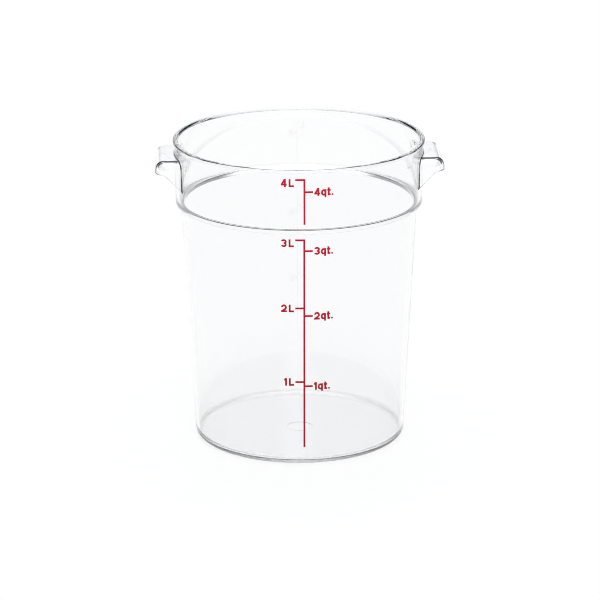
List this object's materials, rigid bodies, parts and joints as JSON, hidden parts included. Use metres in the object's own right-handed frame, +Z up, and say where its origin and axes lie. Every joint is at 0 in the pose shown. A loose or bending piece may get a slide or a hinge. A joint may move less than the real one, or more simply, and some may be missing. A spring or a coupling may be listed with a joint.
{
  "type": "dough proofing container",
  "caption": "Clear round tapered tub for proofing dough, with a stacking ledge, a wide collar with a beaded rim, hollow side grips and a printed volume scale.",
  "frame": {"origin": "centre of the base, on the surface that the tub stands on", "axes": "+Z up along the tub's axis, the grips point along +X and -X, and the printed scale faces -Y"},
  "size_m": [0.2018, 0.177, 0.217],
  "materials": {
    "clear_plastic": "clear polycarbonate, polished",
    "red_ink": "screen printed ink, satin"
  },
  "bodies": {
    "root": {"tub": "clear_plastic", "handle_left": "clear_plastic", "handle_right": "clear_plastic", "scale_line_lower": "red_ink", "scale_line_upper": "red_ink", "litre_ticks": "red_ink", "quart_ticks": "red_ink", "litre_figures": "red_ink", "quart_figures": "red_ink"}
  },
  "joints": []
}
